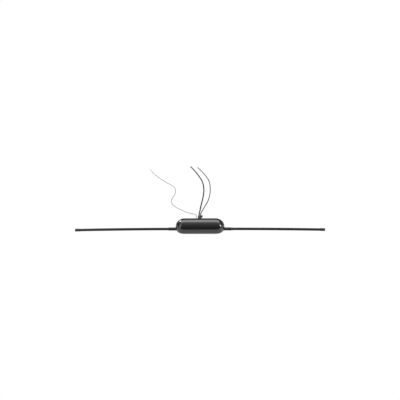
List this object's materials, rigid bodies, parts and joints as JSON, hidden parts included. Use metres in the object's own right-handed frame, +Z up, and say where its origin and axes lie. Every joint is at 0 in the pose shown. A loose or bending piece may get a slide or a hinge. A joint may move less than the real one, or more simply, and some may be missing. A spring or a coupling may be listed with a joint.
{
  "type": "car antenna",
  "caption": "Hideaway amplified car radio antenna: a capsule-shaped black pod with two flat strip elements and three rear leads.",
  "frame": {"origin": "middle of the adhesive pad's underside, on the surface that the antenna lies on", "axes": "+X along the elements to the right, +Y to the rear where the leads leave, +Z up"},
  "size_m": [0.56, 0.4016, 0.0284],
  "materials": {
    "pod_plastic": "glossy black moulded ABS",
    "element_plastic": "satin black extruded PVC",
    "element_rubber": "satin black soft PVC",
    "gland_rubber": "matt black moulded PVC",
    "coax_jacket": "satin black cable PVC",
    "power_jacket": "satin black wire PVC",
    "earth_insulation": "clear PVC over tinned strands",
    "tie_nylon": "black nylon",
    "bullet_vinyl": "red vinyl sleeve",
    "foam_pad": "black acrylic foam tape",
    "board_laminate": "green solder mask on glass laminate",
    "part_epoxy": "black moulded epoxy",
    "can_sleeve": "dark blue shrink sleeve",
    "choke_lacquer": "green lacquer",
    "ferrite": "dark grey sintered ferrite",
    "copper_wire": "enamelled copper",
    "terminal_brass": "machined brass",
    "core_steel": "tinned spring steel strip",
    "screw_steel": "zinc plated steel",
    "plug_nickel": "nickel plated brass",
    "plug_bush": "natural acetal",
    "tin_plate": "tinned copper"
  },
  "bodies": {
    "root": {"base_tray": "pod_plastic", "upper_cover": "pod_plastic", "element_jacket_left": "element_plastic", "element_jacket_right": "element_plastic", "root_sleeve_left": "element_rubber", "root_sleeve_right": "element_rubber", "tip_cap_left": "element_rubber", "tip_cap_right": "element_rubber", "lead_gland": "gland_rubber", "earth_grommet": "gland_rubber", "plug_boot": "gland_rubber", "coax_cable": "coax_jacket", "coax_coil": "coax_jacket", "coax_cable_end": "coax_jacket", "coax_tail": "coax_jacket", "power_lead": "power_jacket", "power_coil": "power_jacket", "power_lead_end": "power_jacket", "power_tail": "power_jacket", "earth_lead": "earth_insulation", "earth_coil": "earth_insulation", "earth_lead_end": "earth_insulation", "earth_tail": "earth_insulation", "lead_tie": "tie_nylon", "coax_coil_ties": "tie_nylon", "power_coil_tie": "tie_nylon", "earth_coil_tie": "tie_nylon", "bullet_sleeve": "bullet_vinyl", "adhesive_pad": "foam_pad", "circuit_board": "board_laminate", "transistor": "part_epoxy", "chip_parts": "part_epoxy", "capacitors": "can_sleeve", "choke": "choke_lacquer", "transformer_core": "ferrite", "transformer_winding": "copper_wire", "terminal_block_left": "terminal_brass", "terminal_block_right": "terminal_brass", "element_core_left": "core_steel", "element_core_right": "core_steel", "cover_screws": "screw_steel", "board_screws": "screw_steel", "terminal_screw_left": "screw_steel", "terminal_screw_right": "screw_steel", "plug_barrel": "plug_nickel", "plug_pin": "plug_nickel", "bullet_contact": "plug_nickel", "plug_insulator": "plug_bush", "ring_terminal": "tin_plate", "coax_saddle": "tin_plate"}
  },
  "joints": []
}
